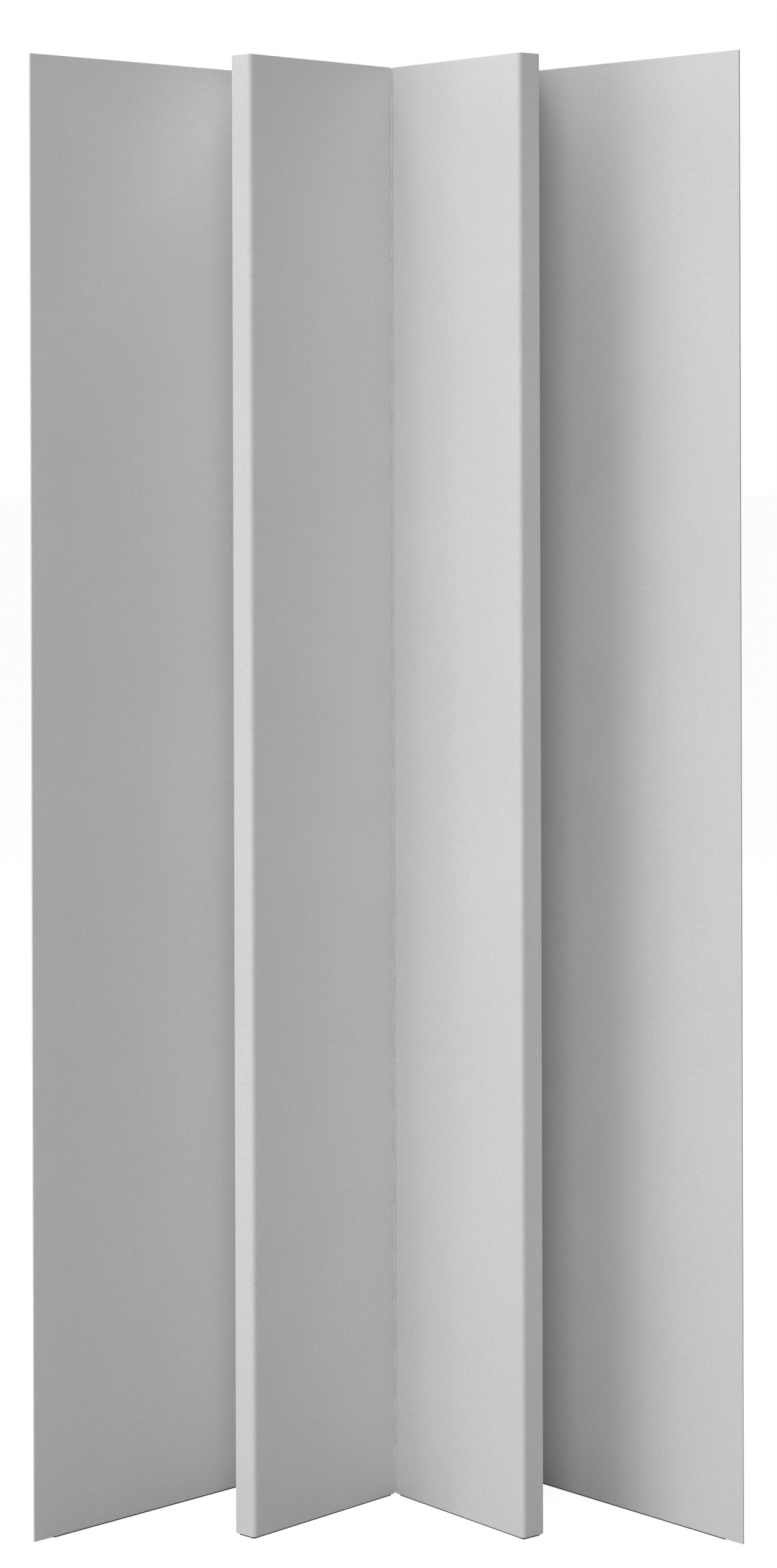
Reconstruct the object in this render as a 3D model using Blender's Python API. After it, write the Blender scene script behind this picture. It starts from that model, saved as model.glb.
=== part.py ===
"""A folding room divider screen of six plain painted panels, joined by five continuous hinges.

Metres, +Z up. The origin is on the floor, in the middle of the standing screen's box. Each
panel hangs on an empty that stands on its hinge axis and points along the panel, so a panel's
pieces are laid out in its own plan: x along the panel from the axis, v through its thickness.
The right half is the left half mirrored: there, v runs the other way, as `side` says.
"""
import math

import bmesh
import bpy
from mathutils import Vector

# Overall sizes
HEIGHT = 1.800
THICKNESS = 0.032
CENTRE_WIDTH = 0.247
LINK_WIDTH = 0.176
OUTER_WIDTH = 0.363

# How the screen stands: the angle between two panels at each kind of fold
CENTRE_ANGLE = math.radians(81.8)
REAR_ANGLE = math.radians(37.5)
FRONT_ANGLE = math.radians(40.3)

# Panel build: two skins on a frame of stiles and rails, on a felt strip
SKIN = 0.006
STILE_WIDTH = 0.040
RAIL_HEIGHT = 0.045
EDGE_RADIUS = 0.005
NOSE = 0.002
FELT_THICKNESS = 0.002
FELT_INSET = 0.003
SEAT_GAP = 0.0003
ARC_STEPS = 5

# Hinges: fine knuckles that run the whole height and fill the gap between two panels' ends
KNUCKLE_RADIUS = 0.0012
BORE_RADIUS = 0.0008
PIN_RADIUS = 0.0005
PLATE_THICKNESS = 0.0008
PLATE_WIDTH = 0.024
KNUCKLES = 11
KNUCKLE_GAP = 0.0004
HINGE_MARGIN = 0.001
REAR_HINGE_INSET = 0.055
KNUCKLE_SIDES = 12
BORE_SIDES = 8
PIN_SIDES = 8
WELD = 0.000001
SHARP_EDGE = math.radians(60.0)

# What follows from those
AXIS_GAP = KNUCKLE_RADIUS + SEAT_GAP
FACE_GAP = SEAT_GAP / 2.0
PANEL_FOOT = FELT_THICKNESS + SEAT_GAP
HINGE_FOOT = PANEL_FOOT + HINGE_MARGIN
HINGE_TOP = HEIGHT - HINGE_MARGIN
ROUND = min(EDGE_RADIUS, SKIN - SEAT_GAP)


def clear_scene():
    """Remove every object, so that the model starts from nothing."""
    for old in list(bpy.data.objects):
        bpy.data.objects.remove(old, do_unlink=True)


def make_material(name, colour, roughness, metallic=0.0):
    """A Principled finish with one colour, roughness and metallic value."""
    material = bpy.data.materials.new(name)
    material.use_nodes = True
    shader = material.node_tree.nodes["Principled BSDF"]
    shader.inputs["Base Color"].default_value = (*colour, 1.0)
    shader.inputs["Roughness"].default_value = roughness
    shader.inputs["Metallic"].default_value = metallic
    return material


clear_scene()
SCREEN = bpy.data.collections.new("folding_room_divider_screen")
CUTTERS = bpy.data.collections.new("cutters")
bpy.context.scene.collection.children.link(SCREEN)
bpy.context.scene.collection.children.link(CUTTERS)

PAINT = make_material("matt_off_white_paint", (0.72, 0.71, 0.70), 0.85)
PINE = make_material("bare_softwood", (0.58, 0.43, 0.27), 0.70)
FELT = make_material("grey_felt", (0.12, 0.12, 0.12), 0.95)
HINGE_PAINT = make_material("painted_hinge_steel", (0.70, 0.69, 0.68), 0.60)
STEEL = make_material("bright_steel", (0.55, 0.55, 0.56), 0.35, 1.0)


def add_object(name, data, parent, material):
    """Link a piece into the screen's collection, on its panel's empty."""
    piece = bpy.data.objects.new(name, data)
    piece.parent = parent
    data.materials.append(material)
    SCREEN.objects.link(piece)
    return piece


def add_box_faces(mesh, low, high):
    """Add a box between two corners, given in any order, to a bmesh."""
    made = bmesh.ops.create_cube(mesh, size=1.0)
    for vertex in made["verts"]:
        for axis in range(3):
            middle = (low[axis] + high[axis]) / 2.0
            vertex.co[axis] = middle + vertex.co[axis] * abs(high[axis] - low[axis])


def mesh_from_boxes(name, boxes):
    """A mesh of one or more boxes, each a pair of corners."""
    shape = bmesh.new()
    for low, high in boxes:
        add_box_faces(shape, low, high)
    data = bpy.data.meshes.new(name)
    shape.to_mesh(data)
    shape.free()
    return data


def outline_curve(name, loops, foot, top):
    """A flat outline, with any holes as further loops, drawn out from foot to top."""
    curve = bpy.data.curves.new(name, "CURVE")
    curve.dimensions = "2D"
    curve.fill_mode = "BOTH"
    curve.extrude = (top - foot) / 2.0
    for loop in loops:
        spline = curve.splines.new("POLY")
        spline.points.add(len(loop) - 1)
        for point, (x, y) in zip(spline.points, loop):
            point.co = (x, y, 0.0, 1.0)
        spline.use_cyclic_u = True
    return curve


def arc(centre, radius, start, end, steps):
    """Points along an arc, both ends included."""
    angles = [start + (end - start) * step / steps for step in range(steps + 1)]
    return [(centre[0] + radius * math.cos(a), centre[1] + radius * math.sin(a)) for a in angles]


class Panel:
    """One leaf of the screen: where it lies on its axis, and how its two ends are shaped."""

    def __init__(self, name, parent, place, turn, side, start, width, near, bevelled=False):
        self.name = name
        self.bevelled = bevelled
        self.side = side
        self.start = start
        self.end = start + width
        self.near = near
        self.far = near + THICKNESS
        self.empty = bpy.data.objects.new(name + "_axis", None)
        self.empty.parent = parent.empty if parent else None
        self.empty.location = (place[0], place[1], 0.0)
        self.empty.rotation_euler = (0.0, 0.0, turn)
        SCREEN.objects.link(self.empty)

    def plan(self, x, v):
        """A point of the panel's plan in its empty's own axes."""
        return (x, self.side * v)

    def reach(self, v):
        """How far the panel reaches at depth v: a bevelled edge is cut back at 45 degrees."""
        return self.end - max(0.0, v - self.near - NOSE) if self.bevelled else self.end

    def corners(self):
        """The corners of the panel's plan."""
        return [(self.start, self.near), (self.start, self.far), (self.end, self.near),
                (self.end, self.near + NOSE), (self.reach(self.far), self.far)]

    def box(self, part, x_range, v_range, z_range, material):
        """A straight board or rail of this panel."""
        low = (*self.plan(x_range[0], v_range[0]), z_range[0])
        high = (*self.plan(x_range[1], v_range[1]), z_range[1])
        name = f"{self.name}_{part}"
        return add_object(name, mesh_from_boxes(name, [(low, high)]), self.empty, material)

    def slab(self, part, outline, material):
        """A full-height board whose plan is an outline."""
        name = f"{self.name}_{part}"
        loop = [self.plan(x, v) for x, v in outline]
        curve = outline_curve(name, [loop], PANEL_FOOT, HEIGHT)
        piece = add_object(name, curve, self.empty, material)
        piece.location.z = (HEIGHT + PANEL_FOOT) / 2.0
        return piece


def add_frame(panel, start_stile, end_stile):
    """Two stiles between the skins, a rail at the top and one at the bottom between them."""
    front = panel.near + SKIN + SEAT_GAP
    back = panel.far - SKIN - SEAT_GAP
    inner_start = panel.start + STILE_WIDTH
    inner_end = panel.reach(panel.far) - STILE_WIDTH
    panel.box(start_stile, (panel.start, inner_start), (front, back), (PANEL_FOOT, HEIGHT), PINE)
    outline = [(inner_end, front), (panel.reach(front), front), (panel.reach(back), back),
               (inner_end, back)]
    panel.slab(end_stile, outline, PINE)
    between = (inner_start + SEAT_GAP, inner_end - SEAT_GAP)
    panel.box("top_rail", between, (front, back), (HEIGHT - RAIL_HEIGHT, HEIGHT), PINE)
    panel.box("bottom_rail", between, (front, back), (PANEL_FOOT, PANEL_FOOT + RAIL_HEIGHT), PINE)


def add_felt(panel):
    """The felt strip that the panel stands on, set in from all its edges."""
    run = (panel.start + FELT_INSET, panel.reach(panel.far) - FELT_INSET)
    depth = (panel.near + FELT_INSET, panel.far - FELT_INSET)
    panel.box("felt_strip", run, depth, (0.0, FELT_THICKNESS), FELT)


def build_centre_panel(panel):
    """A middle panel: its ridge edge is rounded at the front, its hinge edge is square."""
    corner = (panel.start + ROUND, panel.near + ROUND)
    rounded = arc(corner, ROUND, 1.5 * math.pi, math.pi, ARC_STEPS)
    inner = panel.near + SKIN
    front = [(panel.end, panel.near), *rounded, (panel.start, inner), (panel.end, inner)]
    panel.slab("front_skin", front, PAINT)
    back_run = (panel.far - SKIN, panel.far)
    panel.box("back_skin", (panel.start, panel.end), back_run, (PANEL_FOOT, HEIGHT), PAINT)
    add_frame(panel, "ridge_stile", "valley_stile")
    add_felt(panel)


def build_link_panel(panel):
    """The narrow panel that carries an outer panel behind a middle one: square all round."""
    run = (panel.start, panel.end)
    panel.box("inner_skin", run, (panel.near, panel.near + SKIN), (PANEL_FOOT, HEIGHT), PAINT)
    panel.box("outer_skin", run, (panel.far - SKIN, panel.far), (PANEL_FOOT, HEIGHT), PAINT)
    add_frame(panel, "rear_stile", "valley_stile")
    add_felt(panel)


def build_outer_panel(panel):
    """An outer panel: the back of its free edge is bevelled down to a thin nose."""
    inner = panel.near + SKIN
    front = [(panel.start, panel.near), (panel.end, panel.near), (panel.end, panel.near + NOSE),
             (panel.reach(inner), inner), (panel.start, inner)]
    panel.slab("front_skin", front, PAINT)
    outer = panel.far - SKIN
    back = [(panel.start, outer), (panel.reach(outer), outer), (panel.reach(panel.far), panel.far),
            (panel.start, panel.far)]
    panel.slab("back_skin", back, PAINT)
    add_frame(panel, "valley_stile", "free_stile")
    add_felt(panel)


def plate_section():
    """A hinge plate and its knuckle in section, as (q, p) points.

    q runs from the axis to the face that the plate lies on, AXIS_GAP away, and p runs along
    the plate. The knuckle is a round of KNUCKLE_RADIUS that the plate leaves at a tangent.
    """
    inner = KNUCKLE_RADIUS - PLATE_THICKNESS
    join = math.acos(inner / KNUCKLE_RADIUS) - 2.0 * math.pi
    turn = arc((0.0, 0.0), KNUCKLE_RADIUS, 0.0, join, KNUCKLE_SIDES)
    return [(KNUCKLE_RADIUS, PLATE_WIDTH), *turn, (inner, PLATE_WIDTH)]


def add_hinge_plate(panel, name, axis, face, along, first):
    """A hinge plate with every second knuckle, bored for the pin.

    axis is the hinge axis in the panel's plan, face points from it to the panel's face, and
    along points the way the plate runs. first is 0 or 1: the knuckle that the plate starts with.
    """
    def place(q, p):
        return panel.plan(axis[0] + q * face[0] + p * along[0], axis[1] + q * face[1] + p * along[1])

    bore = arc((0.0, 0.0), BORE_RADIUS, 0.0, 2.0 * math.pi, BORE_SIDES)[:-1]
    loops = [[place(q, p) for q, p in loop] for loop in (plate_section(), bore)]
    drawn = bpy.data.objects.new(name + "_outline", outline_curve(name, loops, HINGE_FOOT, HINGE_TOP))
    SCREEN.objects.link(drawn)
    data = bpy.data.meshes.new_from_object(drawn.evaluated_get(bpy.context.evaluated_depsgraph_get()))
    data.name = name
    bpy.data.objects.remove(drawn)
    shape = bmesh.new()
    shape.from_mesh(data)
    bmesh.ops.remove_doubles(shape, verts=shape.verts, dist=WELD)
    bmesh.ops.recalc_face_normals(shape, faces=shape.faces)
    shape.to_mesh(data)
    shape.free()
    data.materials.clear()
    plate = add_object(name, data, panel.empty, HINGE_PAINT)
    plate.location.z = (HINGE_TOP + HINGE_FOOT) / 2.0

    pitch = (HINGE_TOP - HINGE_FOOT) / KNUCKLES
    reach = 2.0 * KNUCKLE_RADIUS
    notches = []
    for index in range(1 - first, KNUCKLES, 2):
        foot = HINGE_FOOT + index * pitch - (KNUCKLE_GAP if index else reach)
        top = HINGE_FOOT + (index + 1) * pitch + (KNUCKLE_GAP if index < KNUCKLES - 1 else reach)
        low = (*place(-reach, -reach), foot)
        high = (*place(reach, KNUCKLE_RADIUS + KNUCKLE_GAP), top)
        notches.append((low, high))
    cutter = bpy.data.objects.new(name + "_notches", mesh_from_boxes(name + "_notches", notches))
    cutter.parent = panel.empty
    cutter.hide_render = True
    cutter.display_type = "WIRE"
    CUTTERS.objects.link(cutter)
    cut = plate.modifiers.new("notches", "BOOLEAN")
    cut.operation = "DIFFERENCE"
    cut.solver = "EXACT"
    cut.object = cutter
    return plate


def add_pin(panel, name, axis):
    """The hinge's steel pin, as long as its plates."""
    shape = bmesh.new()
    bmesh.ops.create_cone(shape, cap_ends=True, segments=PIN_SIDES, radius1=PIN_RADIUS,
                          radius2=PIN_RADIUS, depth=HINGE_TOP - HINGE_FOOT)
    data = bpy.data.meshes.new(name)
    shape.to_mesh(data)
    shape.free()
    data.shade_smooth()
    data.set_sharp_from_angle(angle=SHARP_EDGE)
    pin = add_object(name, data, panel.empty, STEEL)
    pin.location = (*panel.plan(*axis), (HINGE_TOP + HINGE_FOOT) / 2.0)
    return pin


def rear_axis():
    """The rear hinge axis in a middle panel's plan: off its back face, set in from the ridge."""
    return (-AXIS_GAP - CENTRE_WIDTH + REAR_HINGE_INSET, FACE_GAP + THICKNESS + AXIS_GAP)


def front_axis():
    """The front hinge axis in a link panel's plan: past its end, level with its outer face."""
    return (LINK_WIDTH + 2.0 * AXIS_GAP, AXIS_GAP + THICKNESS + FACE_GAP)


def build_half(word, side, centre):
    """The link and outer panel of one half, hung on its middle panel, with their hinges."""
    link = Panel(f"link_{word}", centre, centre.plan(*rear_axis()), side * REAR_ANGLE, side,
                 AXIS_GAP, LINK_WIDTH, AXIS_GAP)
    fold = math.pi - FRONT_ANGLE
    outer = Panel(f"outer_{word}", link, link.plan(*front_axis()), side * fold, -side,
                  AXIS_GAP, OUTER_WIDTH, FACE_GAP, bevelled=True)
    build_link_panel(link)
    build_outer_panel(outer)

    rear = f"rear_hinge_{word}"
    add_hinge_plate(centre, f"{rear}_centre_plate", rear_axis(), (0, -1), (-1, 0), 0)
    add_hinge_plate(link, f"{rear}_link_plate", (0, 0), (1, 0), (0, 1), 1)
    add_pin(centre, f"{rear}_pin", rear_axis())
    front = f"front_hinge_{word}"
    add_hinge_plate(link, f"{front}_link_plate", front_axis(), (-1, 0), (0, -1), 0)
    add_hinge_plate(outer, f"{front}_outer_plate", (0, 0), (1, 0), (0, 1), 1)
    add_pin(link, f"{front}_pin", front_axis())
    return [link, outer]


def stand_on_origin(root, panels):
    """Move the whole screen so that its box stands on the origin."""
    bpy.context.view_layer.update()
    corners = []
    for panel in panels:
        turn = panel.empty.matrix_world
        corners += [turn @ Vector((*panel.plan(x, v), 0.0)) for x, v in panel.corners()]
    for axis in range(2):
        places = [corner[axis] for corner in corners]
        root.empty.location[axis] -= (min(places) + max(places)) / 2.0
    bpy.context.view_layer.update()


def build_screen():
    """All six panels: the two middle ones meet at the back, and each carries a link and a wing."""
    start = -AXIS_GAP - CENTRE_WIDTH
    turn = (math.pi - CENTRE_ANGLE) / 2.0
    left = Panel("centre_left", None, (0.0, 0.0), turn, 1, start, CENTRE_WIDTH, FACE_GAP)
    right = Panel("centre_right", left, (0.0, 0.0), CENTRE_ANGLE, -1, start, CENTRE_WIDTH, FACE_GAP)
    build_centre_panel(left)
    build_centre_panel(right)
    add_hinge_plate(left, "centre_hinge_left_plate", (0, 0), (-1, 0), (0, 1), 0)
    add_hinge_plate(right, "centre_hinge_right_plate", (0, 0), (-1, 0), (0, 1), 1)
    add_pin(left, "centre_hinge_pin", (0, 0))
    panels = [left, right, *build_half("left", 1, left), *build_half("right", -1, right)]
    stand_on_origin(left, panels)


build_screen()
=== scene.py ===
"""Looks for the folding room divider screen: six matt painted panels on continuous hinges.

Every board, hinge plate, pin, screw head and felt strip is a closed surface worked out with
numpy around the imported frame. All sizes are in metres unless a name ends in _mm.
"""
from __future__ import annotations

import logging
import math
from dataclasses import dataclass, field
from enum import Enum
from typing import Any

import bpy
import numpy as np
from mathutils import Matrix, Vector
from numpy.typing import NDArray


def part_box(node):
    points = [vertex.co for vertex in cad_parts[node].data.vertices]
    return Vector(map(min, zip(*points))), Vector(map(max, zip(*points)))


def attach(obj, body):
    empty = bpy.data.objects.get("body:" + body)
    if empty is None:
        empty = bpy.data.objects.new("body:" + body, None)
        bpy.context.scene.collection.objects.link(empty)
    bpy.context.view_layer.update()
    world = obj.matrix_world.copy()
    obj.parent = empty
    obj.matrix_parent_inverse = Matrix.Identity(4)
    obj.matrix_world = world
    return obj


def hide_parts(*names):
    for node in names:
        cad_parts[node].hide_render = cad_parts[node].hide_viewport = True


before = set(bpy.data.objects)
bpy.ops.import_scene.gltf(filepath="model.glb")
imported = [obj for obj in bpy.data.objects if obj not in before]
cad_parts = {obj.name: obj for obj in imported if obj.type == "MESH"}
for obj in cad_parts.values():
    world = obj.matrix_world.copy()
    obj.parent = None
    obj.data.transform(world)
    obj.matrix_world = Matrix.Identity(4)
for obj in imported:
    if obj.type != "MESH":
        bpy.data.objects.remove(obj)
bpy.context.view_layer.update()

Array = NDArray[np.float64]
log = logging.getLogger("screen")

MM = 0.001


# ---------------------------------------------------------------------------------------------
# Finishes
# ---------------------------------------------------------------------------------------------

def linear(colour: str) -> tuple[float, float, float, float]:
    """Turn an sRGB hex colour into linear RGBA.

    Args:
        colour: six hex digits after a hash.

    Returns:
        Red, green and blue by the sRGB curve, and an alpha of one.
    """
    parts = [int(colour[start:start + 2], 16) / 255.0 for start in (1, 3, 5)]
    flat = [p / 12.92 if p <= 0.04045 else ((p + 0.055) / 1.055) ** 2.4 for p in parts]
    return (flat[0], flat[1], flat[2], 1.0)


def add_node(tree: bpy.types.NodeTree, kind: str, settings: dict[str, Any] | None = None,
             values: dict[Any, Any] | None = None, links: dict[Any, Any] | None = None) -> bpy.types.Node:
    """Add a node to a tree.

    Args:
        tree: the material's or world's node tree.
        kind: the node's type name.
        settings: attributes of the node itself.
        values: input sockets, by name or number, and their own values.
        links: input sockets, by name or number, and the output sockets that feed them.

    Returns:
        The new node.
    """
    made = tree.nodes.new(kind)
    for name, value in (settings or {}).items():
        setattr(made, name, value)
    for name, value in (values or {}).items():
        made.inputs[name].default_value = value
    for name, source in (links or {}).items():
        tree.links.new(source, made.inputs[name])
    return made


def per_metre(size_mm: float) -> float:
    """The texture scale whose features are size_mm across, on coordinates in metres."""
    return 1.0 / (size_mm * MM)


class Grain(Enum):
    """Which way a board's wood grain runs."""

    UPRIGHT = "upright"
    LEVEL = "level"


@dataclass(frozen=True)
class MattPaint:
    """Water-based matt emulsion, two coats with a short-pile roller.

    It gives the eye a chalky white with almost no gloss, a stipple a few millimetres across, faint
    clouds where the coats differ, rare specks of dust, and rubbed corners.
    """

    name: str
    light: str
    dark: str
    primer: str
    speck: str
    roughness: float
    stipple_mm: float
    stipple_depth_mm: float
    cloud_mm: float
    speck_pitch_mm: float
    speck_mm: float
    grain_mm: float = 0.0
    grain_depth_mm: float = 0.0
    cloud_share: float = 0.3
    bare_cells: float = 0.72
    rub_mm: float = 35.0
    patch_mm: float = 60.0
    roughness_spread: float = 0.05
    ior: float = 1.46

    def colour(self, tree: bpy.types.NodeTree, place: Any) -> Any:
        """Mottle, clouds, specks and rubbed corners, one over another.

        Args:
            tree: the material's nodes.
            place: the output socket that gives each point's place.

        Returns:
            The output socket of the finished colour.
        """
        mottle = add_node(tree, "ShaderNodeTexNoise", values={
            "Scale": per_metre(self.stipple_mm), "Detail": 2.0, "Roughness": 0.55}, links={"Vector": place})
        cloud = add_node(tree, "ShaderNodeTexNoise", values={
            "Scale": per_metre(self.cloud_mm), "Detail": 3.0, "Roughness": 0.5}, links={"Vector": place})
        both = add_node(tree, "ShaderNodeMath", {"operation": "MULTIPLY_ADD"}, {1: self.cloud_share},
                        {0: cloud.outputs["Fac"], 2: mottle.outputs["Fac"]})
        even = add_node(tree, "ShaderNodeMapRange", values={"From Min": 0.40, "From Max": 0.90},
                        links={"Value": both.outputs[0]})
        coat = add_node(tree, "ShaderNodeMix", {"data_type": "RGBA"}, {
            6: linear(self.dark), 7: linear(self.light)}, {"Factor": even.outputs["Result"]})

        cells = add_node(tree, "ShaderNodeTexVoronoi", {"feature": "F1"}, {
            "Scale": per_metre(self.speck_pitch_mm), "Randomness": 1.0}, {"Vector": place})
        radius = 0.5 * self.speck_mm / self.speck_pitch_mm
        dot = add_node(tree, "ShaderNodeMapRange", values={
            "From Min": radius, "From Max": 0.5 * radius}, links={"Value": cells.outputs["Distance"]})
        chance = add_node(tree, "ShaderNodeSeparateColor", links={"Color": cells.outputs["Color"]})
        rare = add_node(tree, "ShaderNodeMath", {"operation": "GREATER_THAN"}, {1: self.bare_cells},
                        {0: chance.outputs["Red"]})
        dust = add_node(tree, "ShaderNodeMath", {"operation": "MULTIPLY"},
                        links={0: dot.outputs["Result"], 1: rare.outputs[0]})
        specked = add_node(tree, "ShaderNodeMix", {"data_type": "RGBA"}, {7: linear(self.speck)},
                           {"Factor": dust.outputs[0], 6: coat.outputs[2]})

        corner = add_node(tree, "ShaderNodeAttribute", {"attribute_name": "arris"})
        rub = add_node(tree, "ShaderNodeTexNoise", values={
            "Scale": per_metre(self.rub_mm), "Detail": 5.0, "Roughness": 0.7}, links={"Vector": place})
        bare = add_node(tree, "ShaderNodeMapRange", values={"From Min": 0.66, "From Max": 0.74},
                        links={"Value": rub.outputs["Fac"]})
        worn = add_node(tree, "ShaderNodeMath", {"operation": "MULTIPLY"},
                        links={0: corner.outputs["Fac"], 1: bare.outputs["Result"]})
        finished = add_node(tree, "ShaderNodeMix", {"data_type": "RGBA"}, {7: linear(self.primer)},
                            {"Factor": worn.outputs[0], 6: specked.outputs[2]})
        return finished.outputs[2]

    def relief(self, tree: bpy.types.NodeTree, place: Any) -> Any:
        """Roller stipple, and on softwood the raised grain under it.

        Args:
            tree: the material's nodes.
            place: the output socket that gives each point's place.

        Returns:
            The output socket of the shaded normal.
        """
        stipple = add_node(tree, "ShaderNodeTexNoise", values={
            "Scale": per_metre(self.stipple_mm), "Detail": 3.0, "Roughness": 0.6}, links={"Vector": place})
        bump = add_node(tree, "ShaderNodeBump", values={
            "Strength": 1.0, "Distance": self.stipple_depth_mm * MM},
            links={"Height": stipple.outputs["Fac"]})
        if not self.grain_mm:
            return bump.outputs["Normal"]
        along = add_node(tree, "ShaderNodeUVMap", {"uv_map": "grain"})
        squeeze = add_node(tree, "ShaderNodeMapping", values={
            "Scale": (per_metre(self.grain_mm), per_metre(40.0 * self.grain_mm), 1.0)},
            links={"Vector": along.outputs["UV"]})
        rings = add_node(tree, "ShaderNodeTexNoise", values={"Scale": 1.0, "Detail": 2.0},
                         links={"Vector": squeeze.outputs["Vector"]})
        raised = add_node(tree, "ShaderNodeBump", values={
            "Strength": 1.0, "Distance": self.grain_depth_mm * MM},
            links={"Height": rings.outputs["Fac"], "Normal": bump.outputs["Normal"]})
        return raised.outputs["Normal"]

    def build(self) -> bpy.types.Material:
        """Make the material."""
        material = bpy.data.materials.new(self.name)
        material.use_nodes = True
        tree = material.node_tree
        shader = tree.nodes["Principled BSDF"]
        place = add_node(tree, "ShaderNodeTexCoord").outputs["Object"]
        tree.links.new(self.colour(tree, place), shader.inputs["Base Color"])
        tree.links.new(self.relief(tree, place), shader.inputs["Normal"])
        patchy = add_node(tree, "ShaderNodeTexNoise", values={
            "Scale": per_metre(self.patch_mm), "Detail": 2.0}, links={"Vector": place})
        spread = add_node(tree, "ShaderNodeMapRange", values={
            "To Min": self.roughness - self.roughness_spread,
            "To Max": self.roughness + self.roughness_spread},
            links={"Value": patchy.outputs["Fac"]})
        tree.links.new(spread.outputs["Result"], shader.inputs["Roughness"])
        shader.inputs["IOR"].default_value = self.ior
        return material


@dataclass(frozen=True)
class WoolFelt:
    """Pressed wool felt, die-cut in strips: dark, quite without gloss, with a short loose nap."""

    name: str
    light: str
    dark: str
    fibre_mm: float
    nap_mm: float
    sheen: float = 0.4
    sheen_roughness: float = 0.6

    def build(self) -> bpy.types.Material:
        """Make the material."""
        material = bpy.data.materials.new(self.name)
        material.use_nodes = True
        tree = material.node_tree
        shader = tree.nodes["Principled BSDF"]
        place = add_node(tree, "ShaderNodeTexCoord").outputs["Object"]
        fibres = add_node(tree, "ShaderNodeTexNoise", values={
            "Scale": per_metre(self.fibre_mm), "Detail": 6.0, "Roughness": 0.7, "Distortion": 1.2},
            links={"Vector": place})
        shade = add_node(tree, "ShaderNodeMix", {"data_type": "RGBA"}, {
            6: linear(self.dark), 7: linear(self.light)}, {"Factor": fibres.outputs["Fac"]})
        tree.links.new(shade.outputs[2], shader.inputs["Base Color"])
        nap = add_node(tree, "ShaderNodeBump", values={"Strength": 1.0, "Distance": self.nap_mm * MM},
                       links={"Height": fibres.outputs["Fac"]})
        tree.links.new(nap.outputs["Normal"], shader.inputs["Normal"])
        shader.inputs["Roughness"].default_value = 1.0
        shader.inputs["Sheen Weight"].default_value = self.sheen
        shader.inputs["Sheen Roughness"].default_value = self.sheen_roughness
        return material


@dataclass(frozen=True)
class DrawnWire:
    """Mild steel wire drawn through a die: bright, with fine scratches along its length."""

    name: str
    light: str
    dark: str
    roughness: float
    scratch_mm: float
    scratch_length_mm: float = 60.0

    def build(self) -> bpy.types.Material:
        """Make the material."""
        material = bpy.data.materials.new(self.name)
        material.use_nodes = True
        tree = material.node_tree
        shader = tree.nodes["Principled BSDF"]
        place = add_node(tree, "ShaderNodeTexCoord").outputs["Object"]
        drawn = add_node(tree, "ShaderNodeMapping", values={
            "Scale": (per_metre(self.scratch_mm), per_metre(self.scratch_mm),
                      per_metre(self.scratch_length_mm))},
            links={"Vector": place})
        lines = add_node(tree, "ShaderNodeTexNoise", values={"Scale": 1.0, "Detail": 3.0},
                         links={"Vector": drawn.outputs["Vector"]})
        shade = add_node(tree, "ShaderNodeMix", {"data_type": "RGBA"}, {
            6: linear(self.dark), 7: linear(self.light)}, {"Factor": lines.outputs["Fac"]})
        tree.links.new(shade.outputs[2], shader.inputs["Base Color"])
        shader.inputs["Metallic"].default_value = 1.0
        shader.inputs["Roughness"].default_value = self.roughness
        return material


PANEL_PAINT = MattPaint("matt_emulsion_rolled_on_fibreboard", light="#EDECEB", dark="#E1E0DF",
                        primer="#D5D3CF", speck="#8A8783", roughness=0.86, stipple_mm=2.6,
                        stipple_depth_mm=0.05, cloud_mm=140.0, speck_pitch_mm=46.0, speck_mm=1.2)
EDGE_PAINT = MattPaint("matt_emulsion_brushed_on_softwood", light="#EDECEB", dark="#E1E0DF",
                       primer="#D5D3CF", speck="#8A8783", roughness=0.86, stipple_mm=2.6,
                       stipple_depth_mm=0.03, cloud_mm=140.0, speck_pitch_mm=50.0, speck_mm=1.0,
                       grain_mm=1.6, grain_depth_mm=0.03)
HINGE_PAINT = MattPaint("matt_emulsion_brushed_on_steel", light="#EBEAE9", dark="#DFDEDD", primer="#B6B5B2",
                        speck="#6E6A66", roughness=0.7, stipple_mm=1.8, stipple_depth_mm=0.02,
                        cloud_mm=90.0, speck_pitch_mm=26.0, speck_mm=0.8)
FELT = WoolFelt("pressed_wool_felt", light="#5A5855", dark="#2B2A29", fibre_mm=0.8, nap_mm=0.15)
WIRE = DrawnWire("drawn_steel_wire", light="#C4C4C6", dark="#9C9C9F", roughness=0.35, scratch_mm=0.3)


# ---------------------------------------------------------------------------------------------
# Surfaces
# ---------------------------------------------------------------------------------------------

def smooth_step(value: Array) -> Array:
    """Zero below 0, one above 1, and 3t^2 - 2t^3 between."""
    t = np.clip(value, 0.0, 1.0)
    return t * t * (3.0 - 2.0 * t)


def close_rings(rings: Array, turned: bool) -> tuple[Array, list[list[int]]]:
    """Join rings of points, one above another, into a closed surface.

    Args:
        rings: places, as rings by points by three.
        turned: true where the points run clockwise as seen from the last ring.

    Returns:
        The points as a flat list, and the faces: a quad for each neighbouring pair of points on
        neighbouring rings, and one flat face over each end ring.
    """
    count, around = rings.shape[:2]
    ring, point = np.meshgrid(np.arange(count - 1), np.arange(around), indexing="ij")
    here = ring * around + point
    beside = ring * around + (point + 1) % around
    quads = np.stack([here, beside, beside + around, here + around], axis=-1).reshape(-1, 4)
    foot = np.arange(around)[::-1]
    top = (count - 1) * around + np.arange(around)
    faces = [*quads.tolist(), foot.tolist(), top.tolist()]
    if turned:
        faces = [face[::-1] for face in faces]
    return rings.reshape(-1, 3), faces


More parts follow.
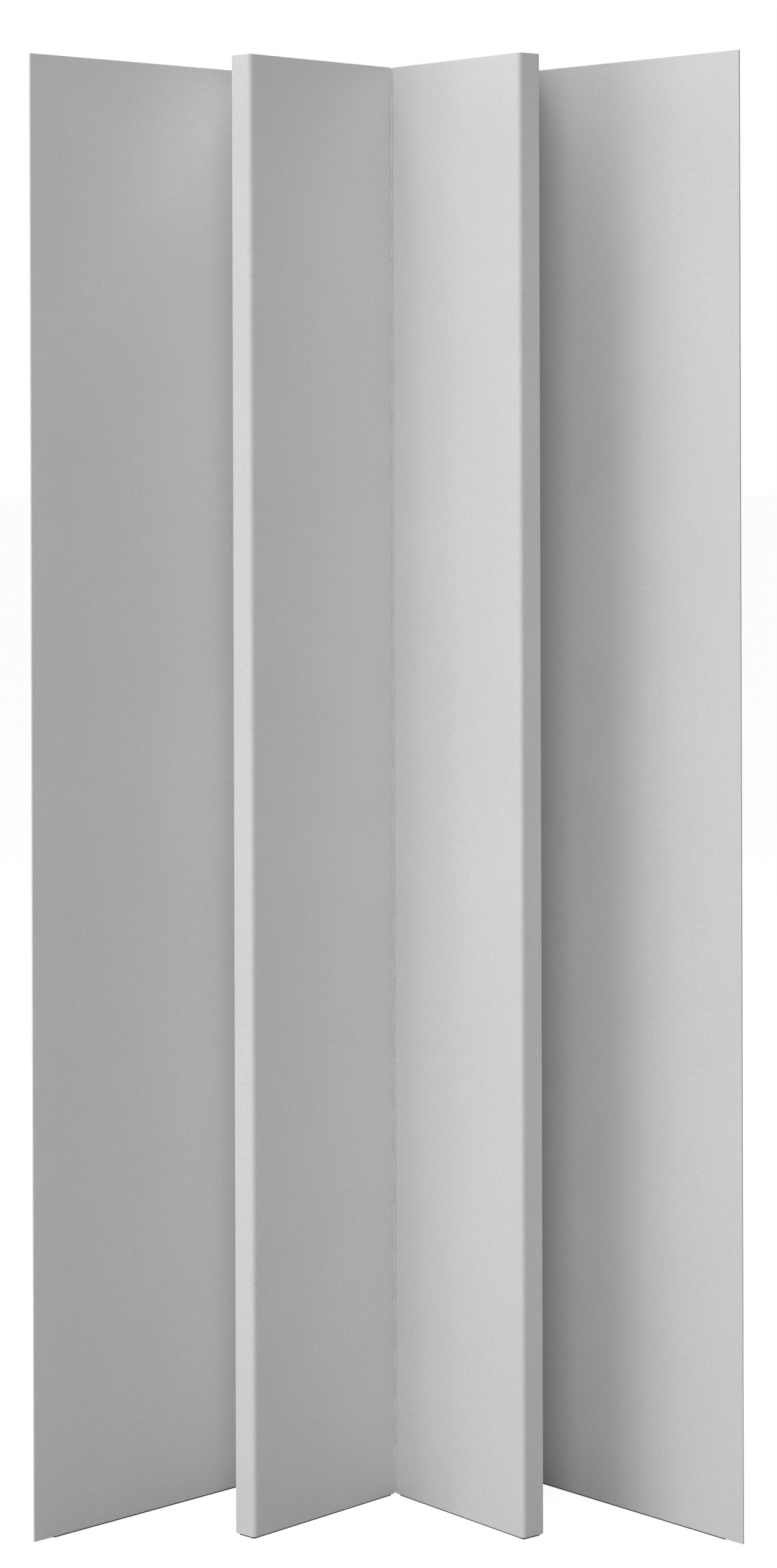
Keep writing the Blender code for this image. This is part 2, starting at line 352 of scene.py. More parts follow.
def merge_shells(shells: list[tuple[Array, list[list[int]]]]) -> tuple[Array, list[list[int]]]:
    """Put several closed surfaces into one list of points and one of faces."""
    points, faces, first = [], [], 0
    for places, sides in shells:
        points.append(places)
        faces += [[corner + first for corner in side] for side in sides]
        first += len(places)
    return np.concatenate(points), faces


@dataclass
class Surface:
    """Points and faces, with a wear value and a grain coordinate at each point."""

    points: Array
    faces: list[list[int]]
    arris: Array | None = None
    grain: Array | None = None

    def make(self, name: str, material: bpy.types.Material, crease: float = 40.0) -> bpy.types.Object:
        """Turn the surface into an object at the origin.

        Args:
            name: the object's name.
            material: its finish.
            crease: the angle in degrees past which an edge is shaded sharp.

        Returns:
            The object, linked into the scene.
        """
        mesh = bpy.data.meshes.new(name)
        mesh.from_pydata(self.points.tolist(), [], self.faces)
        if self.arris is not None:
            values = mesh.attributes.new("arris", "FLOAT", "POINT")
            values.data.foreach_set("value", self.arris.astype(np.float32))
        if self.grain is not None:
            corners = np.empty(len(mesh.loops), dtype=np.int32)
            mesh.loops.foreach_get("vertex_index", corners)
            layer = mesh.uv_layers.new(name="grain")
            layer.data.foreach_set("uv", self.grain[corners].astype(np.float32).ravel())
        mesh.materials.append(material)
        mesh.shade_smooth()
        mesh.set_sharp_from_angle(angle=math.radians(crease))
        mesh.validate()
        made = bpy.data.objects.new(name, mesh)
        bpy.context.scene.collection.objects.link(made)
        return made


@dataclass(frozen=True)
class Knock:
    """A small dent that pushes the surface in around a point of a board's edge."""

    x: float
    v: float
    z: float
    push: tuple[float, float, float]
    spread: float = 1.6 * MM

    def stations(self) -> Array:
        """Places along an edge, from the dent's middle, that are close enough to draw it."""
        return self.spread * np.linspace(-2.4, 2.4, 9)


@dataclass
class Place:
    """Where a panel stands: its own x runs along it and v runs through it, front to back."""

    origin: Array
    x_axis: Array
    v_axis: Array

    @property
    def turned(self) -> bool:
        """True where x and v make a left-handed pair."""
        return bool(self.x_axis[0] * self.v_axis[1] - self.x_axis[1] * self.v_axis[0] < 0.0)

    def world(self, local: Array) -> Array:
        """Panel places (x, v, z) as places in the frame."""
        flat = self.origin + local[..., :1] * self.x_axis + local[..., 1:2] * self.v_axis
        return np.concatenate([flat, local[..., 2:]], axis=-1)

    def local(self, places: Array) -> Array:
        """Places in the frame as panel places (x, v, z)."""
        flat = places[..., :2] - self.origin
        return np.stack([flat @ self.x_axis, flat @ self.v_axis, places[..., 2]], axis=-1)


def node_points(node: str) -> Array:
    """The points of a CAD node, in the frame."""
    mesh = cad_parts[node].data
    flat = np.empty(len(mesh.vertices) * 3, dtype=np.float32)
    mesh.vertices.foreach_get("co", flat)
    return flat.reshape(-1, 3).astype(np.float64)


@dataclass
class Section:
    """A board's plan: its corners in order, which sides show, and how round its corners are."""

    corners: Array
    shows: list[bool]
    radii: list[float]
    steps: int = 6

    def inset(self, depth: Array) -> list[Array]:
        """Each corner's points where every side that shows has moved in by a depth.

        A corner is where its two moved sides cross. Between two sides that show it is an arc,
        whose radius shrinks by the depth about a fixed centre.

        Args:
            depth: one depth for each ring.

        Returns:
            For each corner an array of rings by points by two.
        """
        count = len(self.corners)
        sides = np.roll(self.corners, -1, axis=0) - self.corners
        along = sides / np.linalg.norm(sides, axis=1, keepdims=True)
        inward = np.stack([-along[:, 1], along[:, 0]], axis=1)
        found = []
        for corner in range(count):
            before, after = corner - 1, corner
            pair = np.stack([inward[before], inward[after]])
            moved = np.stack([depth * self.shows[before], depth * self.shows[after]])
            here = (pair @ self.corners[corner])[:, None] + moved
            crossing = np.linalg.solve(pair, here).T
            if not (self.shows[before] and self.shows[after]):
                found.append(crossing[:, None, :])
                continue
            radius = np.maximum(self.radii[corner] - depth, 0.02 * MM)[:, None]
            lean = (inward[before] + inward[after]) / (1.0 + inward[before] @ inward[after])
            centre = crossing + radius * lean
            start = math.atan2(-inward[before][1], -inward[before][0])
            turn = math.acos(float(np.clip(inward[before] @ inward[after], -1.0, 1.0)))
            angles = start + turn * np.linspace(0.0, 1.0, self.steps + 1)
            spokes = np.stack([np.cos(angles), np.sin(angles)], axis=1)
            found.append(centre[:, None, :] + radius[:, :, None] * spokes[None])
        return found


@dataclass
class Board:
    """A flat board with rounded edges, drawn up from its plan.

    The surface is a ring of points for each height. Near a shown end the ring moves in along a
    quarter circle, depth = r (1 - cos t) and height = r (1 - sin t) from the end.
    """

    section: Section
    foot: float
    top: float
    end_radius: float = 0.8 * MM
    pitch: float = 14.0 * MM
    guard: float = 1.5 * MM
    knocks: list[Knock] = field(default_factory=list)
    face_side: int | None = None
    waviness: float = 0.05 * MM
    still_edge: float = 12.0 * MM
    seed: int = 0
    grain: Grain = Grain.UPRIGHT

    def heights(self) -> tuple[Array, Array]:
        """Ring heights from foot to top, and how far each ring is moved in."""
        angles = np.linspace(0.0, math.pi / 2.0, 5)
        rise = self.end_radius * (1.0 - np.sin(angles))
        move = self.end_radius * (1.0 - np.cos(angles))
        low, high = self.foot + self.end_radius + self.guard, self.top - self.end_radius - self.guard
        even = np.linspace(low, high, max(2, int((high - low) / self.pitch)))
        near = [knock.z + step for knock in self.knocks for step in knock.stations()]
        middle = np.unique(np.round(np.concatenate([even, [z for z in near if low < z < high]]), 5))
        places = np.concatenate([self.foot + rise[::-1], middle, self.top - rise])
        moves = np.concatenate([move[::-1], np.zeros(len(middle)), move])
        return places, moves

    def shares(self, length: float, first: Array, last: Array) -> Array:
        """Fractions along a side where points stand: evenly, close to its ends, and by any knock."""
        if length < 4.0 * self.guard:
            return np.empty(0)
        even = np.linspace(self.guard, length - self.guard, max(2, int(length / self.pitch)))
        unit = (last - first) / length
        near = []
        for knock in self.knocks:
            along = float((np.array([knock.x, knock.v]) - first) @ unit)
            off = float(np.linalg.norm(first + along * unit - np.array([knock.x, knock.v])))
            if off < 2.0 * knock.spread:
                near += [along + step for step in knock.stations()]
        places = np.concatenate([even, [p for p in near if self.guard < p < length - self.guard]])
        return np.unique(np.round(places / length, 6))

    def wave(self, x: Array, z: Array) -> Array:
        """A few long slow waves over a face: a sum of sines with seeded lengths and phases."""
        random = np.random.default_rng(self.seed)
        total = np.zeros_like(x)
        for _ in range(5):
            length_x, length_z = random.uniform(0.09, 0.30), random.uniform(0.12, 0.60)
            phase = random.uniform(0.0, 2.0 * math.pi, 2)
            total += np.sin(2.0 * math.pi * x / length_x + phase[0]) * np.sin(
                2.0 * math.pi * z / length_z + phase[1])
        return self.waviness * total / 2.0

    def surface(self, place: Place) -> Surface:
        """The board's closed surface, at its place.

        Args:
            place: the panel that the plan is drawn in.

        Returns:
            The surface, with its arris and grain values.
        """
        heights, moves = self.heights()
        corners = self.section.inset(moves)
        shows, count = self.section.shows, len(self.section.corners)
        columns, wear, face = [], [], []
        for index, points in enumerate(corners):
            columns.append(points)
            rounded = points.shape[1] > 1
            wear.append(np.full(points.shape[1], 1.0 if rounded else 0.0))
            face.append(np.zeros(points.shape[1]))
            first, last = points[:, -1], corners[(index + 1) % count][:, 0]
            middle = len(heights) // 2
            length = float(np.linalg.norm(last[middle] - first[middle]))
            share = self.shares(length, first[middle], last[middle])
            columns.append(first[:, None] + (last - first)[:, None] * share[None, :, None])
            wear.append(np.zeros(len(share)))
            inside = smooth_step(share * length / self.still_edge)
            inside = inside * smooth_step((1.0 - share) * length / self.still_edge)
            face.append(inside if index == self.face_side else np.zeros(len(share)))
        plan = np.concatenate(columns, axis=1)
        wear_plan, face_plan = np.concatenate(wear), np.concatenate(face)
        upright = np.broadcast_to(heights[:, None, None], (*plan.shape[:2], 1))
        local = np.concatenate([plan, upright], axis=-1)

        if self.face_side is not None:
            side = self.section.corners[(self.face_side + 1) % count] - self.section.corners[self.face_side]
            inward = np.array([-side[1], side[0]]) / np.linalg.norm(side)
            ends = smooth_step((heights - self.foot) / self.still_edge)
            ends = ends * smooth_step((self.top - heights) / self.still_edge)
            reach = self.wave(local[..., 0], local[..., 2]) * ends[:, None] * face_plan[None]
            local[..., :2] += np.abs(reach)[..., None] * inward
        for knock in self.knocks:
            gap = local - np.array([knock.x, knock.v, knock.z])
            weight = np.exp(-0.5 * np.sum(gap * gap, axis=-1) / knock.spread ** 2)
            local += weight[..., None] * np.array(knock.push)

        arris = np.broadcast_to(wear_plan[None], plan.shape[:2]).copy()
        if any(shows):
            to_end = np.minimum(heights - self.foot, self.top - heights)
            end_wear = (moves > 0.0) | (to_end <= self.end_radius)
            arris = np.maximum(arris, end_wear[:, None].astype(float))
        steps = np.linalg.norm(np.diff(plan, axis=1, prepend=plan[:, :1]), axis=-1)
        around = np.cumsum(steps, axis=1)
        rise = local[..., 2]
        pair = [around, rise] if self.grain is Grain.UPRIGHT else [rise, around]
        grain = np.stack(pair, axis=-1).reshape(-1, 2)
        points, faces = close_rings(place.world(local), place.turned)
        return Surface(points, faces, arris.ravel(), grain)


# ---------------------------------------------------------------------------------------------
# Panels
# ---------------------------------------------------------------------------------------------

class Kind(Enum):
    """The three kinds of panel, by the name that their nodes start with."""

    OUTER = "outer"
    LINK = "link"
    CENTRE = "centre"


@dataclass
class PanelPieces:
    """One panel: two skins on a frame of two stiles and two rails, on a felt strip.

    The boards are painted as one, so each is made to meet its neighbours where the CAD nodes
    keep a gap.
    """

    name: str
    kind: Kind
    skins: tuple[str, str]
    stiles: tuple[str, str]
    paint: bpy.types.Material
    edge_paint: bpy.types.Material
    felt: bpy.types.Material
    seed: int
    seat_gap: float = 0.3 * MM
    arris_radius: float = 0.9 * MM
    valley_radius: float = 0.4 * MM
    ridge_radius: float = 5.6 * MM
    nose: float = 2.0 * MM
    nose_radius: float = 0.85 * MM
    felt_radius: float = 0.4 * MM

    def __post_init__(self) -> None:
        """Find the panel's own axes and its extent from the CAD boards."""
        front, back = (node_points(f"{self.name}_{skin}") for skin in self.skins)
        first, last = (node_points(f"{self.name}_{stile}") for stile in self.stiles)
        through = back[:, :2].mean(axis=0) - front[:, :2].mean(axis=0)
        spread = back[:, :2] - back[:, :2].mean(axis=0)
        rough = np.linalg.svd(spread, full_matrices=False)[2][0]
        far_side = spread[spread @ (through - (through @ rough) * rough) > 0.0]
        order = far_side @ rough
        along = far_side[order.argmax()] - far_side[order.argmin()]
        along = along / np.linalg.norm(along)
        if (last[:, :2].mean(axis=0) - first[:, :2].mean(axis=0)) @ along < 0.0:
            along = -along
        across = through - (through @ along) * along
        self.place = Place(np.zeros(2), along, across / np.linalg.norm(across))
        boards = self.place.local(np.concatenate([front, back, first, last]))
        self.low, self.high = boards.min(axis=0), boards.max(axis=0)

    def extent(self, part: str) -> tuple[Array, Array]:
        """A CAD node's lowest and highest (x, v, z) in the panel's own axes."""
        points = self.place.local(node_points(f"{self.name}_{part}"))
        return points.min(axis=0), points.max(axis=0)

    def reach(self, v: float) -> float:
        """How far the panel runs at depth v: an outer panel's free edge is cut back at 45 degrees."""
        if self.kind is not Kind.OUTER:
            return float(self.high[0])
        return float(self.high[0] - max(0.0, v - self.low[1] - self.nose))

    def dress(self, board: Board, part: str, material: bpy.types.Material) -> bpy.types.Object:
        """Make a board, put it in its CAD node's stead and let it ride on the panel."""
        node = f"{self.name}_{part}"
        made = board.surface(self.place).make(f"{node}_painted", material)
        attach(made, self.name)
        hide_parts(node)
        return made

    def front_skin(self) -> None:
        """The front board: rounded at a ridge, or run out to a thin nose at a free edge."""
        low, high = self.extent(self.skins[0])
        back = high[1] + self.seat_gap / 2.0
        if self.kind is Kind.OUTER:
            corners = [(low[0], low[1]), (high[0], low[1]), (high[0], low[1] + self.nose),
                       (self.reach(back), back), (low[0], back)]
            shows = [True, True, True, False, True]
            radii = [self.valley_radius, self.nose_radius, self.nose_radius, 0.0, 0.0]
        else:
            corners = [(low[0], low[1]), (high[0], low[1]), (high[0], back), (low[0], back)]
            shows = [True, True, False, True]
            ridge = self.ridge_radius if self.kind is Kind.CENTRE else self.arris_radius
            radii = [ridge, self.valley_radius, 0.0, 0.0]
        board = Board(Section(np.array(corners), shows, radii, 8), low[2], high[2], face_side=0,
                      seed=self.seed, knocks=self.knocks(low, high))
        self.dress(board, self.skins[0], self.paint)

    def knocks(self, low: Array, high: Array) -> list[Knock]:
        """Small dents in a ridge or free edge and one in the top, where a moved panel meets doors."""
        random = np.random.default_rng(100 + self.seed)
        x, inward = (high[0], -1.0) if self.kind is Kind.OUTER else (low[0] + 0.3 * self.ridge_radius, 1.0)
        found = []
        for z in random.uniform(low[2] + 0.1, high[2] - 0.1, 0 if self.kind is Kind.LINK else 2):
            found.append(Knock(float(x), float(low[1]), float(z), (inward * 0.2 * MM, 0.2 * MM, 0.0)))
        share = float(random.uniform(0.2, 0.8))
        found.append(Knock(float(low[0] + share * (high[0] - low[0])), float(low[1]), float(high[2]),
                           (0.0, 0.2 * MM, -0.2 * MM), 1.3 * MM))
        return found

    def back_skin(self) -> None:
        """The back board, with slightly eased corners."""
        low, high = self.extent(self.skins[1])
        front = low[1] - self.seat_gap / 2.0
        corners = [(low[0], front), (self.reach(front), front), (self.reach(high[1]), high[1]),
                   (low[0], high[1])]
        section = Section(np.array(corners), [False, True, True, True],
                          [0.0, 0.0, self.arris_radius, self.arris_radius], 8)
        board = Board(section, low[2], high[2], face_side=2, seed=50 + self.seed)
        self.dress(board, self.skins[1], self.paint)

    def stile(self, part: str, at_start: bool) -> None:
        """An upright between the skins, one edge of which shows as part of the panel's edge."""
        low, high = self.extent(part)
        half = self.seat_gap / 2.0
        front, back = low[1] - half, high[1] + half
        if at_start:
            corners = [(low[0], front), (high[0] + half, front), (high[0] + half, back), (low[0], back)]
            shows = [False, False, False, True]
        else:
            corners = [(low[0] - half, front), (self.reach(front), front), (self.reach(back), back),
                       (low[0] - half, back)]
            shows = [False, True, False, False]
        section = Section(np.array(corners), shows, [0.0] * 4)
        self.dress(Board(section, low[2], high[2]), part, self.edge_paint)

    def rail(self, part: str) -> None:
        """A cross piece between the stiles, flush with the panel's top or bottom."""
        low, high = self.extent(part)
        half = self.seat_gap / 2.0
        corners = [(low[0] - half, low[1] - half), (high[0] + half, low[1] - half),
                   (high[0] + half, high[1] + half), (low[0] - half, high[1] + half)]
        section = Section(np.array(corners), [False] * 4, [0.0] * 4)
        board = Board(section, low[2], high[2], grain=Grain.LEVEL)
        self.dress(board, part, self.edge_paint)

    def felt_strip(self) -> None:
        """The felt under the panel, with soft edges."""
        low, high = self.extent("felt_strip")
        corners = [(low[0], low[1]), (high[0], low[1]), (high[0], high[1]), (low[0], high[1])]
        section = Section(np.array(corners), [True] * 4, [2.0 * self.felt_radius] * 4)
        board = Board(section, low[2], high[2], end_radius=self.felt_radius, guard=0.1 * MM)
        self.dress(board, "felt_strip", self.felt)

    def build(self) -> None:
        """Make all seven pieces."""
        self.front_skin()
        self.back_skin()
        self.stile(self.stiles[0], True)
        self.stile(self.stiles[1], False)
        self.rail("top_rail")
        self.rail("bottom_rail")
        self.felt_strip()
        log.info("%s: seven boards and strips", self.name)


# ---------------------------------------------------------------------------------------------
# Hinges
# ---------------------------------------------------------------------------------------------

@dataclass
class HingePlate:
    """A hinge plate with its rolled knuckles and screws.

    q runs from the hinge axis to the face that the plate lies on, and p runs along the plate.
    """

    node: str
    body: str
    axis: Array
    face: Array
    along: Array
    first: int
    foot: float
    top: float
    paint: bpy.types.Material
    knuckle_radius: float = 1.2 * MM
    thickness: float = 0.8 * MM
    width: float = 24.0 * MM
    pitch: float = 30.0 * MM
    knuckle_gap: float = 0.3 * MM
    screw_pitch: float = 118.0 * MM
    screw_radius: float = 3.2 * MM
    screw_rise: float = 0.20 * MM
    recess_depth: float = 0.15 * MM
    screw_share: float = 0.58
    screw_sides: int = 16
    screw_sink: float = 0.05 * MM
    chamfer: float = 0.15 * MM
    web: float = 0.3 * MM

    def places(self, q: Array, p: Array, z: Array) -> Array:
        """Hinge places as places in the frame."""
        flat = self.axis + q[..., None] * self.face + p[..., None] * self.along
        return np.concatenate([flat, np.broadcast_to(z, q.shape)[..., None]], axis=-1)

    @property
    def turned(self) -> bool:
        """True where q and p make a left-handed pair."""
        return bool(self.face[0] * self.along[1] - self.face[1] * self.along[0] < 0.0)

    def drawn_up(self, outline: Array, heights: Array, scales: Array) -> tuple[Array, list[list[int]]]:
        """A closed surface from an outline in q and p: each ring is it scaled about the axis."""
        q = outline[None, :, 0] * scales[:, None]
        p = outline[None, :, 1] * scales[:, None]
        return close_rings(self.places(q, p, heights[:, None]), self.turned)

    def shells(self) -> list[tuple[Array, list[list[int]]]]:
        """The flat plate, and each knuckle with the short web that joins it to the plate."""
        outer = self.knuckle_radius
        inner = outer - self.thickness
        clear = self.knuckle_radius + self.web
        chamfer = self.chamfer
        plate = np.array([(inner, clear), (outer, clear), (outer, self.width - chamfer),
                          (outer - chamfer, self.width), (inner + chamfer, self.width),
                          (inner, self.width - chamfer)])
        ends = np.array([self.foot, self.top])
        shells = [self.drawn_up(plate, ends, np.ones(2))]

        join = math.acos(inner / self.knuckle_radius) - 2.0 * math.pi
        angles = np.linspace(join, 0.0, 17)
        roll = self.knuckle_radius * np.stack([np.cos(angles), np.sin(angles)], axis=1)
        web = clear + 0.1 * MM
        outline = np.concatenate([roll, [(outer, web), (inner, web)]])
        count = 2 * int((self.top - self.foot) / self.pitch / 2.0) + 1
        step = (self.top - self.foot) / count
        for index in range(self.first, count, 2):
            foot = self.foot + index * step + self.knuckle_gap / 2.0
            top = self.foot + (index + 1) * step - self.knuckle_gap / 2.0
            heights = np.array([foot, foot + chamfer, top - chamfer, top])
            shells.append(self.drawn_up(outline, heights, np.array([0.92, 1.0, 1.0, 0.92])))
        return shells

    def screws(self) -> list[tuple[Array, list[list[int]]]]:
        """Screw heads: a low dome over (r, t), sunk in a cross where t is near a quarter turn."""
        radial = np.array([1.0, 0.96, 0.62, 0.30])
        rise = np.array([0.0, 0.55, 0.9, 1.0])
        turns = np.linspace(0.0, 2.0 * math.pi, self.screw_sides, endpoint=False)
        cross = (np.arange(self.screw_sides) % 4 == 0).astype(float)
        sunk = np.array([0.0, 0.0, 0.0, 1.0])[:, None] * (0.25 + 0.75 * cross)[None]
        seat = self.knuckle_radius - self.thickness
        depth = self.screw_rise * rise[:, None] - self.recess_depth * sunk
        q = seat + self.screw_sink - depth - self.screw_sink * (radial[:, None] < 1.0)
        p = self.screw_share * self.width + self.screw_radius * radial[:, None] * np.cos(turns)[None]
        across = self.screw_radius * radial[:, None] * np.sin(turns)[None]
        count = int((self.top - self.foot - self.screw_pitch / 2.0) / self.screw_pitch) + 1
        spare = (self.top - self.foot - (count - 1) * self.screw_pitch) / 2.0
        shells = []
        for index in range(count):
            middle = self.foot + spare + index * self.screw_pitch
            shells.append(close_rings(self.places(q, p, middle + across), not self.turned))
        return shells

    def build(self) -> None:
        """Make the plate in place of its CAD node, and its screws."""
        points, faces = merge_shells(self.shells())
        near = np.hypot(*(points[:, :2] - self.axis).T)
        made = Surface(points, faces, (near < 1.05 * self.knuckle_radius).astype(float)).make(
            f"{self.node}_rolled", self.paint)
        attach(made, self.body)
        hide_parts(self.node)
        points, faces = merge_shells(self.screws())
        heads = Surface(points, faces, np.zeros(len(points))).make(f"{self.node}_screws", self.paint, 50.0)
        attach(heads, self.body)
        log.info("%s: plate, knuckles and screws", self.node)


@dataclass
class HingePin:
    """A wire pin with domed ends, turned about the hinge axis."""

    node: str
    body: str
    wire: bpy.types.Material
    radius: float = 0.5 * MM
    sides: int = 16

    def build(self) -> None:
        """Make the pin in place of its CAD node: a circle of radius r(z), z from foot to top."""
        low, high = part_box(self.node)
        middle = np.array([(low[0] + high[0]) / 2.0, (low[1] + high[1]) / 2.0])
        dome = np.linspace(0.15, math.pi / 2.0, 5)
        radii = self.radius * np.concatenate([np.sin(dome), np.sin(dome)[::-1]])
        rise = self.radius * (1.0 - np.cos(dome))
        heights = np.concatenate([low[2] + rise, high[2] - rise[::-1]])
        turns = np.linspace(0.0, 2.0 * math.pi, self.sides, endpoint=False)
        rings = np.stack([middle[0] + radii[:, None] * np.cos(turns),
                          middle[1] + radii[:, None] * np.sin(turns),
                          np.broadcast_to(heights[:, None], (len(heights), self.sides))], axis=-1)
        points, faces = close_rings(rings, False)
        made = Surface(points, faces).make(f"{self.node}_drawn", self.wire)
        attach(made, self.body)
        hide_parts(self.node)


# ---------------------------------------------------------------------------------------------
# Studio
# ---------------------------------------------------------------------------------------------

@dataclass(frozen=True)
class Softbox:
    """A large square lamp that faces a point of the screen."""

    name: str
    place: tuple[float, float, float]
    size: float
    power: float
    colour: str
    aim: tuple[float, float, float] = (0.0, 0.0, 0.9)

    def build(self) -> None:
        """Make the lamp and turn it to its aim."""
        data = bpy.data.lights.new(self.name, "AREA")
        data.shape = "SQUARE"
        data.size = self.size
        data.energy = self.power
        data.color = linear(self.colour)[:3]
        lamp = bpy.data.objects.new(self.name, data)
        lamp.location = self.place
        lamp.visible_camera = False
        lamp.rotation_euler = (Vector(self.aim) - Vector(self.place)).to_track_quat("-Z", "Y").to_euler()
        bpy.context.scene.collection.objects.link(lamp)


@dataclass(frozen=True)
class Studio:
    """A white room without walls: a pale floor, an even sky and soft lamps."""

    lamps: tuple[Softbox, ...]
    sky: str
    sky_strength: float
    floor_colour: str
    floor_radius: float = 60.0
    floor_glow: float = 0.9
    floor_drop: float = 0.2 * MM
    floor_sides: int = 96

    def world(self) -> None:
        """An even sky that lights the screen, seen itself as plain white."""
        world = bpy.data.worlds.new("white_room")
        bpy.context.scene.world = world
        world.use_nodes = True
        tree = world.node_tree
        tree.nodes.clear()
        light = add_node(tree, "ShaderNodeBackground", values={
            "Color": linear(self.sky), "Strength": self.sky_strength})
        seen = add_node(tree, "ShaderNodeBackground", values={"Color": (1.0, 1.0, 1.0, 1.0), "Strength": 1.0})
        path = add_node(tree, "ShaderNodeLightPath")
        both = add_node(tree, "ShaderNodeMixShader", links={
            0: path.outputs["Is Camera Ray"], 1: light.outputs[0], 2: seen.outputs[0]})
        add_node(tree, "ShaderNodeOutputWorld", links={"Surface": both.outputs[0]})

    def floor(self) -> None:
        """A pale floor, seen lighter than it lights so that it meets the sky without a line."""
        turns = np.linspace(0.0, 2.0 * math.pi, self.floor_sides, endpoint=False)
        rim = np.stack([self.floor_radius * np.cos(turns), self.floor_radius * np.sin(turns),
                        np.full(self.floor_sides, -self.floor_drop)], axis=1)
        material = bpy.data.materials.new("pale_painted_floor")
        material.use_nodes = True
        tree = material.node_tree
        tree.nodes.clear()
        matt = add_node(tree, "ShaderNodeBsdfDiffuse", values={"Color": linear(self.floor_colour)})
        glow = add_node(tree, "ShaderNodeEmission", values={
            "Color": (1.0, 1.0, 1.0, 1.0), "Strength": self.floor_glow})
        path = add_node(tree, "ShaderNodeLightPath")
        lit = add_node(tree, "ShaderNodeAddShader", links={0: matt.outputs[0], 1: glow.outputs[0]})
        both = add_node(tree, "ShaderNodeMixShader", links={
            0: path.outputs["Is Camera Ray"], 1: matt.outputs[0], 2: lit.outputs[0]})
        add_node(tree, "ShaderNodeOutputMaterial", links={"Surface": both.outputs[0]})
        Surface(rim, [list(range(self.floor_sides))]).make("floor", material)

    def build(self) -> None:
        """Make the sky, the floor and the lamps."""
        self.world()
        self.floor()
        for lamp in self.lamps:
            lamp.build()
        bpy.context.scene.view_settings.view_transform = "Standard"


@dataclass(frozen=True)
class ViewCamera:
    """A long lens at chest height, level, with its film shifted down to take in the floor."""

    place: tuple[float, float, float] = (0.2083, -4.5867, 1.3584)
    lens: float = 84.76
    shift: tuple[float, float] = (-0.0627, -0.2338)
    roll_degrees: float = 0.165
    turn_degrees: float = 1.1

    def build(self) -> None:
        """Make the camera and look through it."""
        data = bpy.data.cameras.new("view")
        data.lens = self.lens
        data.sensor_width = 36.0
        data.shift_x, data.shift_y = self.shift
        camera = bpy.data.objects.new("view", data)
        camera.location = self.place
        camera.rotation_euler = (math.pi / 2.0, math.radians(self.roll_degrees),
                                 math.radians(self.turn_degrees))
        bpy.context.scene.collection.objects.link(camera)
        bpy.context.scene.camera = camera


# The lamps' strengths were solved for by least squares from trial lamps, then rounded
STUDIO = Studio(
    lamps=(Softbox("front_fill", (0.0, -4.9, 0.9), 2.0, 60.0, "#FCFDFF"),
           Softbox("window_front", (-2.25, -3.9, 0.9), 1.8, 11.0, "#FFFDF9"),
           Softbox("window_middle", (-3.2, -3.2, 0.9), 1.8, 25.0, "#FFFDF9"),
           Softbox("window_side", (-3.9, -2.25, 0.9), 1.8, 24.0, "#FFFDF9"),
           Softbox("window_rear", (-4.35, -1.15, 0.9), 1.8, 16.0, "#FFFDF9"),
           Softbox("side_left", (-3.15, 0.55, 2.6), 1.6, 12.0, "#FFFDF9"),
           Softbox("overhead", (0.0, 0.0, 4.2), 3.0, 15.0, "#F8FAFF"),
           Softbox("overhead_rear", (0.0, 1.2, 4.0), 2.5, 93.0, "#F8FAFF"),
           Softbox("overhead_left", (-2.0, -1.2, 4.0), 2.0, 13.0, "#F8FAFF")),
    sky="#F4F7FF", sky_strength=0.2, floor_colour="#AAAAAA")


# ---------------------------------------------------------------------------------------------
# The whole screen
# ---------------------------------------------------------------------------------------------

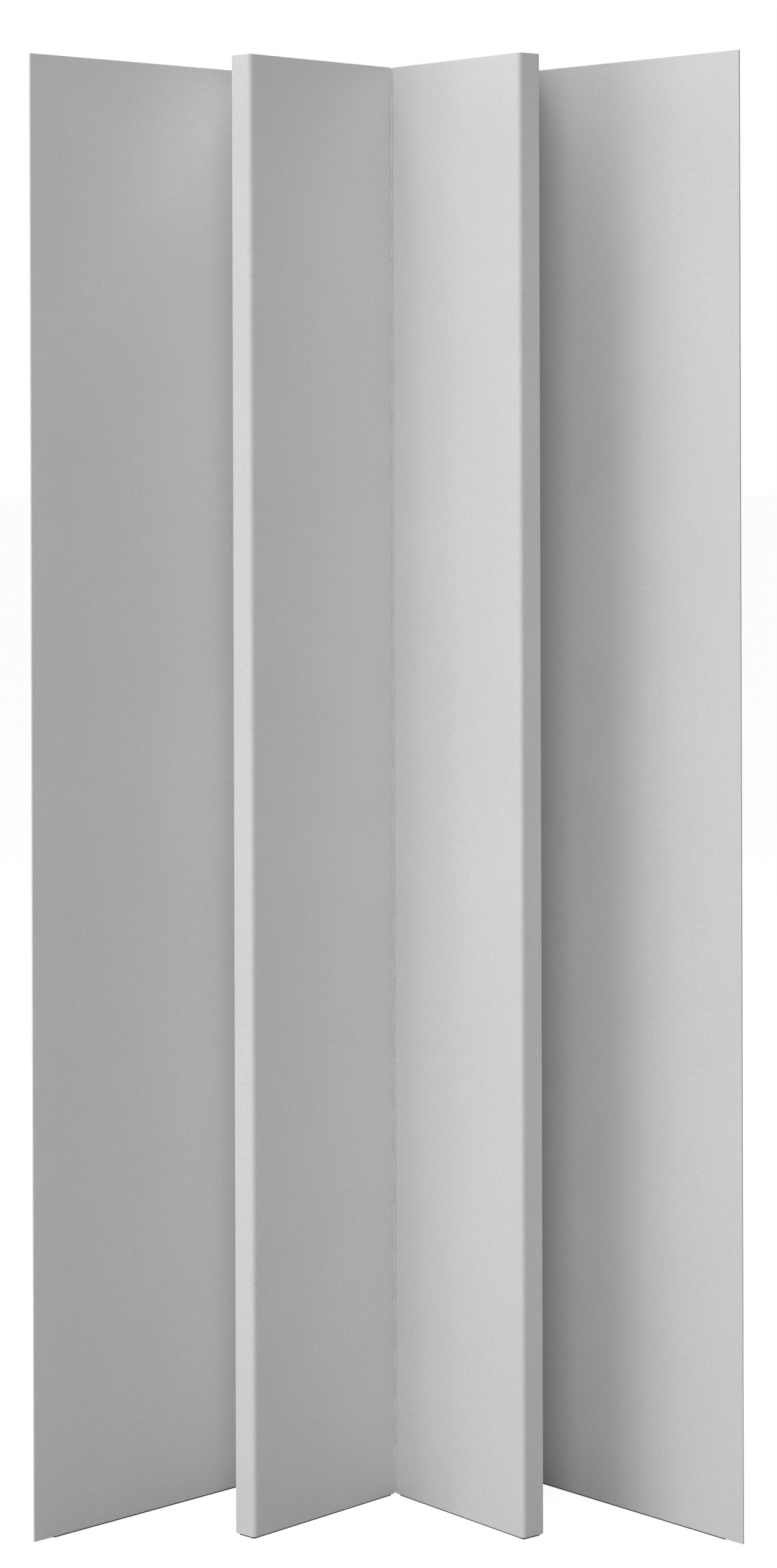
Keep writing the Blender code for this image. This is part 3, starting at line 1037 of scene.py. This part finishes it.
@dataclass
class FoldingScreen:
    """Six panels and the five hinges between them."""

    panels: dict[str, PanelPieces] = field(default_factory=dict)

    def build_panels(self) -> None:
        """Make each panel around its CAD boards."""
        paint, edge, felt = PANEL_PAINT.build(), EDGE_PAINT.build(), FELT.build()
        plain = ("front_skin", "back_skin")
        kinds = {Kind.CENTRE: (plain, ("ridge_stile", "valley_stile")),
                 Kind.LINK: (("inner_skin", "outer_skin"), ("rear_stile", "valley_stile")),
                 Kind.OUTER: (plain, ("valley_stile", "free_stile"))}
        seed = 0
        for kind, (skins, stiles) in kinds.items():
            for side in ("left", "right"):
                seed += 1
                name = f"{kind.value}_{side}"
                panel = PanelPieces(name, kind, skins, stiles, paint, edge, felt, seed)
                panel.build()
                self.panels[name] = panel

    def plate(self, node: str, body: str, pin: str, face: tuple[float, float], along: tuple[float, float],
              first: int, paint: bpy.types.Material) -> None:
        """Make one hinge plate.

        Args:
            node: the plate's CAD node.
            body: the panel that it is screwed to.
            pin: the CAD node of the pin in its knuckles.
            face: the way from the pin to the panel's face, in the panel's own x and v.
            along: the way that the plate runs, in the panel's own x and v.
            first: 0 or 1, the knuckle that the plate starts with.
            paint: its finish.
        """
        place = self.panels[body].place
        low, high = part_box(pin)
        axis = np.array([(low[0] + high[0]) / 2.0, (low[1] + high[1]) / 2.0])
        HingePlate(node, body, axis, face[0] * place.x_axis + face[1] * place.v_axis,
                   along[0] * place.x_axis + along[1] * place.v_axis, first,
                   float(low[2]), float(high[2]), paint).build()

    def build_hinges(self) -> None:
        """Make the five hinges."""
        paint, wire = HINGE_PAINT.build(), WIRE.build()
        middle = "centre_hinge_pin"
        self.plate("centre_hinge_left_plate", "centre_left", middle, (-1, 0), (0, 1), 0, paint)
        self.plate("centre_hinge_right_plate", "centre_right", middle, (-1, 0), (0, 1), 1, paint)
        HingePin(middle, "centre_left", wire).build()
        for side in ("left", "right"):
            centre, link, outer = f"centre_{side}", f"link_{side}", f"outer_{side}"
            rear, front = f"rear_hinge_{side}", f"front_hinge_{side}"
            self.plate(f"{rear}_centre_plate", centre, f"{rear}_pin", (0, -1), (-1, 0), 0, paint)
            self.plate(f"{rear}_link_plate", link, f"{rear}_pin", (1, 0), (0, 1), 1, paint)
            HingePin(f"{rear}_pin", centre, wire).build()
            self.plate(f"{front}_link_plate", link, f"{front}_pin", (-1, 0), (0, -1), 0, paint)
            self.plate(f"{front}_outer_plate", outer, f"{front}_pin", (1, 0), (0, 1), 1, paint)
            HingePin(f"{front}_pin", link, wire).build()


def main() -> None:
    """Build the camera, the screen and the studio, in that order."""
    logging.basicConfig(level=logging.INFO, format="%(name)s: %(message)s")
    ViewCamera().build()
    screen = FoldingScreen()
    screen.build_panels()
    screen.build_hinges()
    STUDIO.build()


if __name__ == "__main__":
    main()
